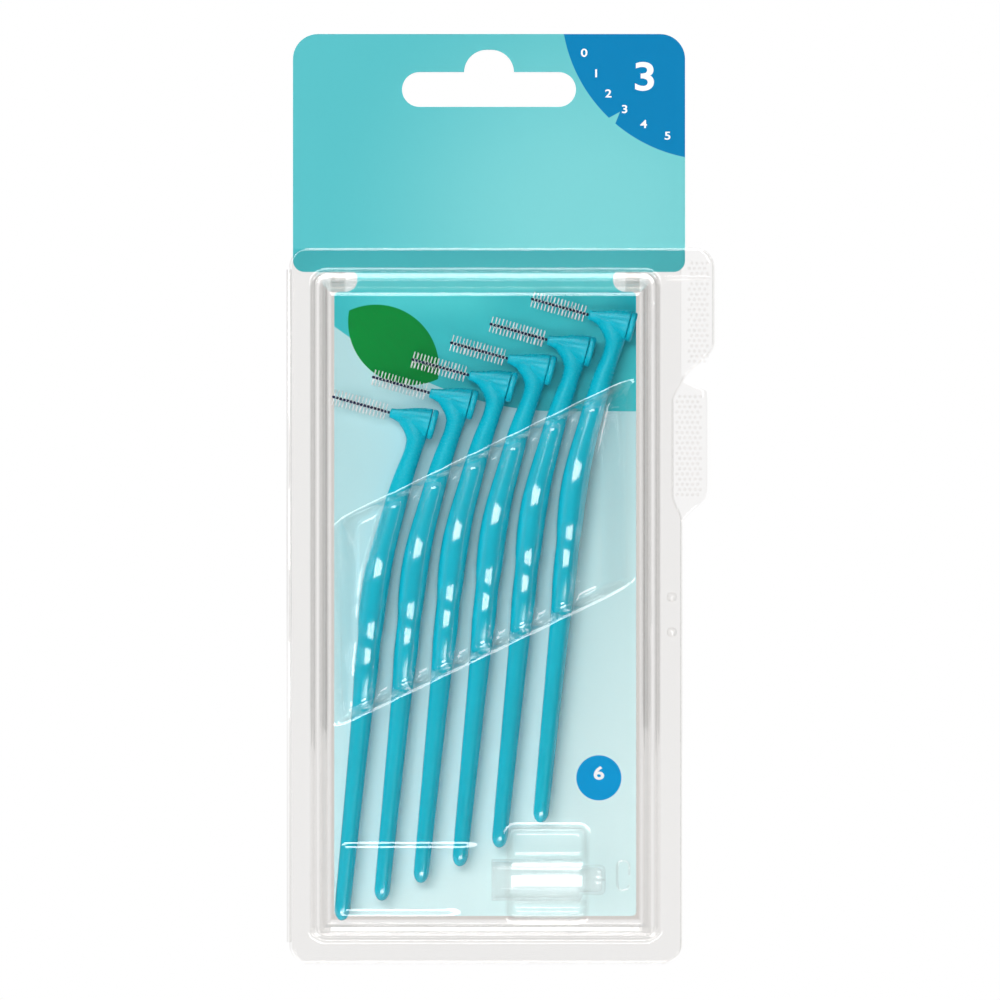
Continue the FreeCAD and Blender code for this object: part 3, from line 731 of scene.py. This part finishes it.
def make_grain():
    """Group that every finish shares: noise at a place, and a roughness eased between two limits by it."""
    tree = bpy.data.node_groups.new("surface_grain", "ShaderNodeTree")
    tree.interface.new_socket("Place", in_out="INPUT", socket_type="NodeSocketVector")
    for name in ("Scale", "Detail", "Smooth", "Rough"):
        tree.interface.new_socket(name, in_out="INPUT", socket_type="NodeSocketFloat")
    for name in ("Grain", "Roughness"):
        tree.interface.new_socket(name, in_out="OUTPUT", socket_type="NodeSocketFloat")
    g = Graph(tree)
    given = g.add("NodeGroupInput").outputs
    inputs = {"Vector": given["Place"], "Scale": given["Scale"], "Detail": given["Detail"]}
    grain = g.add("ShaderNodeTexNoise", inputs).outputs["Fac"]
    roughness = g.ease(grain, 0.2, 0.8, given["Smooth"], given["Rough"])
    g.add("NodeGroupOutput", {"Grain": grain, "Roughness": roughness})
    return tree


def new_material(name):
    """Empty node material, its graph and the place on the object."""
    material = bpy.data.materials.new(name)
    material.use_nodes = True
    g = Graph(material.node_tree)
    return material, g, g.add("ShaderNodeTexCoord").outputs["Object"]


def srgb(red, green, blue):
    """Linear colour of an 8-bit display colour."""
    share = np.array([red, green, blue]) / 255
    linear = np.where(share <= 0.04045, share / 12.92, ((share + 0.055) / 1.055) ** 2.4)
    return (*linear.tolist(), 1.0)


def moulded_plastic(name, colour, shade, roughness, grain):
    """Glossy moulded plastic: a colour that drifts a little, fine grain in the gloss, a very low ripple, and a
    satin skin on the heads, which lie along the row's rising line."""
    material, g, place = new_material(name)
    drift = g.ease(g.grain(place, 90.0)[0], 0.3, 0.7)
    fine, gloss = g.grain(place, grain, 3.0, roughness - 0.05, roughness + 0.07)
    spot = g.add("ShaderNodeSeparateXYZ", {0: place})
    row = g.minus(spot.outputs["Z"], g.times(spot.outputs["X"], math.tan(rise)))
    line = first_z - first_x * math.tan(rise)
    polish_end, satin_start = (line - 14.0) * MM, (line - 11.0) * MM
    satin = g.ease(row, polish_end, satin_start, 0.0, 0.12)
    shader = g.add("ShaderNodeBsdfPrincipled", {
        "Base Color": g.blend(drift, colour, shade),
        "Roughness": g.plus(satin, gloss),
        "IOR": 1.5,
        "Specular IOR Level": 0.12,
        "Coat Weight": g.ease(row, polish_end, satin_start, 1.0, 0.0),
        "Coat Roughness": 0.14,
        "Coat IOR": 1.75,
        "Normal": g.bump(fine, 0.05, 0.0001),
    })
    g.surface(shader)
    return material


def clear_plastic(name, tint, edge_tint, ior, roughness, haze, shade_ring_tint=None):
    """Thin clear plastic: light passes straight through, greyer where the sheet is seen edge on, with a gloss by
    Fresnel, a trace of milky haze and the faint flow lines of drawn sheet. A shade ring tint paints shade on a
    ring beside the card, inside the tub."""
    material, g, place = new_material(name)
    normal = g.bump(g.grain(place, 160.0)[0], 0.03, 0.0004)
    facing = g.add("ShaderNodeLayerWeight", {"Blend": 0.15}).outputs["Facing"]
    open_way = g.add("ShaderNodeBsdfTransparent", {"Color": (0.995, 0.995, 0.995, 1)})
    # Painted shade: the tint turns greyer on a ring just outside the card's edge, inside the tub.
    if shade_ring_tint:
        spot = g.add("ShaderNodeSeparateXYZ", {0: place})
        off = g.math("ABSOLUTE", g.minus(spot.outputs["X"], (window_left + window_right) / 2 * MM))
        ring_foot, outer_fade, inner_fade = -0.1243, (0.0287, 0.0281), (0.0255, 0.0262)
        off = g.math("MAXIMUM", off, g.minus(ring_foot, spot.outputs["Z"]))
        edge = g.times(g.ease(off, *outer_fade), g.ease(off, *inner_fade))
        tint = g.blend(edge, tint, shade_ring_tint)
    through = g.add("ShaderNodeBsdfTransparent", {"Color": g.blend(facing, tint, edge_tint)})
    gloss = g.add("ShaderNodeBsdfGlossy", {"Color": (1, 1, 1, 1), "Roughness": roughness, "Normal": normal})
    milk = g.add("ShaderNodeBsdfDiffuse", {"Color": (0.98, 0.98, 0.98, 1)})
    body = g.add("ShaderNodeMixShader", {0: haze, 1: through.outputs[0], 2: milk.outputs[0]})
    fresnel = g.add("ShaderNodeFresnel", {"IOR": ior, "Normal": normal}).outputs[0]
    outer = g.minus(1.0, g.add("ShaderNodeNewGeometry").outputs["Backfacing"])
    fresnel = g.times(fresnel, outer)
    shader = g.add("ShaderNodeMixShader", {0: fresnel, 1: body.outputs[0], 2: gloss.outputs[0]})
    shade = g.add("ShaderNodeLightPath").outputs["Is Shadow Ray"]
    mixed = g.add("ShaderNodeMixShader", {0: shade, 1: shader.outputs[0], 2: open_way.outputs[0]})
    g.surface(mixed)
    return material


def twisted_steel():
    """Coated dark wire with a soft metal glint and small changes in tone."""
    material, g, place = new_material("dark_wire")
    tone = g.ease(g.grain(place, 900.0)[0], 0.3, 0.7)
    shader = g.add("ShaderNodeBsdfPrincipled", {
        "Base Color": g.blend(tone, srgb(14, 18, 48), srgb(38, 46, 92)),
        "Metallic": 0.6,
        "Roughness": g.ease(tone, 0.0, 1.0, 0.32, 0.45),
    })
    g.surface(shader)
    return material


def nylon_filament():
    """Pale filament that lets some light through."""
    material, g, place = new_material("white_filament")
    tone, gloss = g.grain(place, 700.0, 2.0, 0.35, 0.5)
    shader = g.add("ShaderNodeBsdfPrincipled", {
        "Base Color": g.blend(tone, srgb(244, 248, 250), srgb(255, 255, 255)),
        "Roughness": gloss,
    })
    through = g.add("ShaderNodeBsdfTransparent", {"Color": (1, 1, 1, 1)})
    shade = g.times(g.add("ShaderNodeLightPath").outputs["Is Shadow Ray"], 0.85)
    mixed = g.add("ShaderNodeMixShader", {0: shade, 1: shader.outputs[0], 2: through.outputs[0]})
    g.surface(mixed)
    return material


def printed_card():
    """Coated board printed on its front: teal header and top, pale foot below a long curve, a blue dial quarter
    with its pointer, a plain leaf and a round badge; the back and the cut edges are white board. Painted shade darkens
    the header under the front sheet's flange, and painted light and a painted shadow lie on the tongue's top."""
    material, g, place = new_material("printed_card")
    split = g.add("ShaderNodeSeparateXYZ", {0: place})
    x = g.times(split.outputs["X"], 1000.0)
    z = g.times(split.outputs["Z"], 1000.0)
    soft = 0.06

    def mask(value):
        """1 where a signed distance in millimetres is positive, with a fine soft edge."""
        return g.ease(value, -soft, soft)

    def along(pair, way):
        """Part of an (x, z) pair that runs along a direction."""
        return g.plus(g.times(pair[0], way[0]), g.times(pair[1], way[1]))

    def length(across, up):
        """Length of an (x, z) pair."""
        return g.math("SQRT", g.plus(g.times(across, across), g.times(up, up)))

    def distance(centre_x, centre_z):
        """Distance from a point on the card."""
        return length(g.minus(x, centre_x), g.minus(z, centre_z))

    drift = g.grain(place, 18.0, 1.0)[0]
    glow = g.ease(distance(20.0, -24.0), 6.0, 52.0, 1.0, 0.0)
    teal = g.blend(glow, srgb(90, 195, 202), srgb(128, 216, 219))
    # Painted shade: the header is darker where the front sheet's flange lies over it.
    lip = g.times(mask(g.minus(-29.3, z)), mask(g.minus(z, -33.6)))
    teal = g.blend(g.times(lip, 0.85), teal, srgb(70, 182, 190))
    teal = g.blend(g.ease(z, -33.4, -33.8), teal, srgb(112, 228, 233))
    # Painted light and shade on the tongue's top: a lighter patch left of the middle, and a painted shadow in its top
    # right corner.
    beside = g.ease(g.math("ABSOLUTE", g.plus(x, 11.5)), 6.0, 18.0, 1.0, 0.0)
    top_glow = g.times(g.ease(z, -44.0, -38.0, 0.0, 0.9), beside)
    tongue = g.blend(top_glow, srgb(66, 197, 205), srgb(86, 218, 223))
    tongue = g.blend(g.ease(distance(29.0, -40.0), 1.0, 10.0, 0.8, 0.0), tongue, srgb(14, 166, 182))
    teal = g.blend(g.ease(z, -36.6, -37.4), teal, tongue)
    slant = g.minus(g.times(x, 0.5), z)
    pale = g.blend(g.ease(slant, 55.0, 150.0), srgb(186, 229, 234), srgb(228, 254, 255))
    pale = g.blend(g.ease(drift, 0.3, 0.7, 0.0, 0.25), pale, srgb(202, 242, 248))

    # The pale foot begins under a curve that falls from the left and runs level from the middle
    run = g.math("MAXIMUM", g.minus(13.06, x), 0.0)
    curve = g.plus(g.times(g.times(run, run), 0.00908), -59.2)
    colour = g.blend(mask(g.minus(curve, z)), teal, pale)

    # Dial quarter in the header's corner, with a pointer cut into its rim
    dial_x, dial_z, dial_radius = 41.43, 15.14, 28.1
    from_dial = (g.minus(x, dial_x), g.minus(z, dial_z))
    toward = (math.cos(math.radians(228.0)), math.sin(math.radians(228.0)))
    out = along(from_dial, toward)
    aside = g.math("ABSOLUTE", along(from_dial, (toward[1], -toward[0])))
    pointer = g.minus(g.times(g.minus(out, 25.9), 0.36), aside)
    dial = g.minus(dial_radius, length(*from_dial))
    dial = g.math("MINIMUM", dial, g.times(pointer, -1.0))
    colour = g.blend(mask(dial), colour, srgb(0, 133, 190))

    # Leaf: where two discs overlap
    lean = (0.792, -0.611)
    from_tip = (g.minus(x, -26.5), g.minus(z, -41.2))
    axis = along(from_tip, lean)
    off = g.minus(along(from_tip, (-lean[1], lean[0])), 0.9)
    mid = g.minus(axis, 10.6)
    width = g.plus(g.math("ABSOLUTE", off), 5.3)
    leaf = g.minus(11.6, length(mid, width))
    green = g.blend(g.ease(axis, 2.0, 20.0), srgb(0, 144, 60), srgb(0, 136, 58))
    colour = g.blend(mask(leaf), colour, green)

    # Round badge
    colour = g.blend(mask(g.minus(4.15, distance(20.2, -126.6))), colour, srgb(0, 160, 224))

    facing = g.add("ShaderNodeNewGeometry").outputs["Normal"]
    front = g.math("LESS_THAN", g.add("ShaderNodeSeparateXYZ", {0: facing}).outputs["Y"], -0.5)
    board = g.blend(g.grain(place, 600.0)[0], srgb(228, 229, 226), srgb(242, 242, 239))
    fibre, gloss = g.grain(place, 1400.0, 3.0, 0.5, 0.62)
    shader = g.add("ShaderNodeBsdfPrincipled", {
        "Base Color": g.blend(front, board, colour),
        "Roughness": gloss,
        "Specular IOR Level": 0.03,
        "Normal": g.bump(fibre, 0.06, 0.0001),
    })
    g.surface(shader)
    return material


def plain_ink(name, colour, other):
    """Printed ink with a slight change in cover."""
    material, g, place = new_material(name)
    cover, gloss = g.grain(place, 900.0, 2.0, 0.42, 0.52)
    shader = g.add("ShaderNodeBsdfPrincipled", {
        "Base Color": g.blend(cover, colour, other),
        "Roughness": gloss,
    })
    g.surface(shader)
    return material


def printed_digit(text, x, z, height, bold, material):
    """One plain numeral, printed as a very thin flat film on the card's front and widened a little."""
    font_size, widening, film, lift = 1.37, 1.22, 0.006, 0.012
    curve = bpy.data.curves.new("digit", "FONT")
    curve.body = text
    curve.size = height * font_size * MM
    curve.align_x = "CENTER"
    curve.offset = bold * MM
    curve.extrude = film * MM
    holder = new_object("digit_shape", curve)
    bpy.context.view_layer.update()
    mesh = bpy.data.meshes.new_from_object(holder.evaluated_get(bpy.context.evaluated_depsgraph_get()))
    bpy.data.objects.remove(holder)
    flat = np.empty(3 * len(mesh.vertices))
    mesh.vertices.foreach_get("co", flat)
    flat = flat.reshape(-1, 3)
    middle = (flat[:, 1].max() + flat[:, 1].min()) / 2
    across = widening * flat[:, 0] + x * MM
    depth = (card_front - lift) * MM - flat[:, 2]
    spots = np.stack([across, depth, flat[:, 1] - middle + z * MM], -1)
    mesh.vertices.foreach_set("co", spots.ravel())
    mesh.update()
    mesh.materials.clear()
    mesh.materials.append(material)
    piece = new_object(f"numeral_{text}_{round(10 * x)}", mesh)
    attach(piece, "pack")


# Finishes
surface_grain = make_grain()
sheet_tint = (0.992, 0.989, 0.986, 1)
# Painted shade for the lid: the greyer tint of its ring beside the card.
lid_shade_tint = (0.863, 0.845, 0.83, 1)
turquoise = moulded_plastic("turquoise_plastic", srgb(0, 187, 211), srgb(0, 191, 215), 0.14, 2600.0)
clear_sheet = clear_plastic("clear_sheet", sheet_tint, (0.68, 0.665, 0.65, 1), 1.7, 0.035, 0.001)
clear_dots = clear_plastic("clear_dots", (0.985, 0.981, 0.978, 1), (0.9, 0.895, 0.89, 1), 1.12, 0.05, 0.001)
clear_lid = clear_plastic("clear_lid", sheet_tint, (0.74, 0.73, 0.72, 1), 1.7, 0.035, 0.001, lid_shade_tint)
clear_cap = clear_plastic("clear_cap", (0.99, 0.992, 0.992, 1), (0.84, 0.85, 0.85, 1), 1.45, 0.05, 0.07)
dark_wire = twisted_steel()
white_filament = nylon_filament()
card_print = printed_card()
white_ink = plain_ink("white_ink", srgb(244, 246, 247), srgb(252, 252, 252))

# Card, with its numerals
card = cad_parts["hang_card"]
card.data.materials.clear()
card.data.materials.append(card_print)
header_edge = make_piece("header_edge", make_header_edge(), card_print, "pack")
header_edge.data.polygons.foreach_set("use_smooth", np.zeros(len(header_edge.data.polygons), bool))
dial_numerals = (
    ("0", 17.5, 6.75), ("1", 19.7, 2.98), ("2", 21.95, -0.72),
    ("3", 24.95, -3.6), ("4", 28.45, -6.35), ("5", 32.85, -8.5),
)
for text, x, z in dial_numerals:
    printed_digit(text, x, z, 1.5, 0.035, white_ink)
printed_digit("3", 28.65, 2.4, 5.3, 0.12, white_ink)
printed_digit("6", 20.2, -125.7, 2.4, 0.09, white_ink)

# Brushes
for index in range(brush_count):
    label = f"brush_{index + 1}"
    kinds = (
        ("moulded_handle", make_handle(), turquoise, "turquoise_plastic", "handle"),
        ("plug_disc", make_plug(), turquoise, "turquoise_plastic", "head_plug"),
        ("twisted_pair", make_wire(), dark_wire, "dark_wire", "wire"),
        ("filaments", make_bristles(index), white_filament, "white_filament", "bristles"),
    )
    for name, bodies, material, slot, node in kinds:
        parts = [placed(body, index) for body in bodies]
        make_piece(f"{label}_{name}", parts, material, "pack", [f"{label}_{node}"])

# Clamshell and cap
make_piece("front_sheet", make_front_shell(), clear_sheet, "pack", ["front_shell"])
make_piece("lid_sheet", make_back_lid(), clear_lid, "lid", ["back_lid"])
make_piece("clear_end_cap", make_cap(), clear_cap, "pack", ["protective_cap"])
upper_dots = grip_dots(36.8, 40.3, -50.0, -31.5, -sheet)
make_piece("front_grip_dots", upper_dots, clear_dots, "pack")
lower_dots = grip_dots(34.6, 39.3, -74.5, -56.0, lid_front)
make_piece("lid_grip_dots", lower_dots, clear_dots, "lid")


def make_floor():
    """Plain pale floor below the hanging pack; far from it the floor shows the background's white."""
    size, height, near = 6.0, -0.32, -0.3
    mesh = bpy.data.meshes.new("floor")
    corners = [(-size, near, height), (size, near, height), (size, size, height), (-size, size, height)]
    mesh.from_pydata(corners, [], [[0, 1, 2, 3]])
    material, g, place = new_material("pale_floor")
    split = g.add("ShaderNodeSeparateXYZ", {0: place})
    flat = g.add("ShaderNodeCombineXYZ", {0: split.outputs["X"], 1: split.outputs["Y"]}).outputs[0]
    far = g.add("ShaderNodeVectorMath", {0: flat}, operation="LENGTH").outputs["Value"]
    far = g.math("MAXIMUM", far, g.times(split.outputs["Y"], -2.5))
    matt = g.add("ShaderNodeBsdfDiffuse", {"Color": (0.86, 0.86, 0.86, 1)})
    white = g.add("ShaderNodeEmission", {"Color": (1, 1, 1, 1), "Strength": 1.0})
    path = g.add("ShaderNodeLightPath")
    seen = g.math("MAXIMUM", path.outputs["Is Camera Ray"], path.outputs["Is Transmission Ray"])
    seen = g.math("MAXIMUM", seen, path.outputs["Is Glossy Ray"])
    share = g.times(g.ease(far, 0.2, 0.7, 0.55, 1.0), seen)
    shader = g.add("ShaderNodeMixShader", {0: share, 1: matt.outputs[0], 2: white.outputs[0]})
    g.surface(shader)
    mesh.materials.append(material)
    floor = new_object("floor", mesh)


def soft_light(name, place, width, height, watts):
    """Rectangular soft light that points from its place at the pack's middle."""
    lamp = bpy.data.lights.new(name, "AREA")
    lamp.shape = "RECTANGLE"
    lamp.size, lamp.size_y = width, height
    lamp.energy = watts
    light = new_object(name, lamp)
    run = np.array((0, 0, -0.09)) - np.array(place)
    light.location = place
    light.visible_camera = False
    light.rotation_euler = (math.acos(-run[2] / np.linalg.norm(run)), 0, math.atan2(run[0], -run[1]) + math.pi)
    return light


def make_studio():
    """White background for what the eye and clear plastic see, a dim room for gloss that is darker behind the camera,
    an even fill for matt surfaces and soft lights to the left, above, below and behind, and softboxes that only
    gloss shows."""
    world = bpy.data.worlds.new("studio")
    bpy.context.scene.world = world
    world.use_nodes = True
    g = Graph(world.node_tree)
    path = g.add("ShaderNodeLightPath")
    seen = g.math("MAXIMUM", path.outputs["Is Camera Ray"], path.outputs["Is Transmission Ray"])
    place = g.add("ShaderNodeTexCoord").outputs["Generated"]
    ahead = g.add("ShaderNodeSeparateXYZ", {0: place}).outputs["Y"]
    room = g.ease(ahead, -0.95, -0.2, 0.02, 0.25)
    gloss = g.times(path.outputs["Is Glossy Ray"], room)
    fill = g.times(g.minus(1.0, path.outputs["Is Glossy Ray"]), 0.12)
    light = g.plus(gloss, fill)
    level = g.add("ShaderNodeMix", {0: seen, 2: light, 3: 1.0}, data_type="FLOAT").outputs[0]
    back = g.add("ShaderNodeBackground", {"Color": (1, 1, 1, 1), "Strength": level})
    g.add("ShaderNodeOutputWorld", {"Surface": back.outputs[0]})
    for row in (
        ("side_light", (-0.9, -0.6, -0.05), 1.0, 1.0, 4.4),
        ("top_light", (-0.22, -0.85, 0.24), 0.7, 0.26, 4.6),
        ("low_light", (-0.15, -0.85, -0.43), 0.7, 0.26, 2.1),
        ("back_light", (0.6, 0.9, 0.1), 1.0, 1.0, 9.0),
    ):
        soft_light(*row).visible_glossy = False
    for row in (
        ("upper_gleam", (0, -0.85, 0.27), 0.9, 0.4, 10.0),
        ("lower_gleam", (0, -0.85, -0.48), 0.9, 0.4, 9.0),
        ("overhead_gleam", (-0.1, -0.3, 0.75), 1.0, 0.5, 12.5),
    ):
        soft_light(*row).visible_diffuse = False


def make_camera():
    """Camera level with the pack's middle, straight in front, framed as the photograph is."""
    distance = 1.5
    frame_width = 0.1839
    lens = bpy.data.cameras.new("camera")
    lens.sensor_width = 36.0
    lens.lens = lens.sensor_width * distance / frame_width
    lens.clip_start, lens.clip_end = 0.05, 20.0
    camera = new_object("camera", lens)
    camera.location = (0.00202, -distance, -0.0755)
    camera.rotation_euler = (math.pi / 2, 0, 0)
    bpy.context.scene.camera = camera


make_floor()
make_studio()
make_camera()
bpy.context.scene.view_settings.view_transform = "Standard"
bpy.context.scene.cycles.transparent_max_bounces = 32
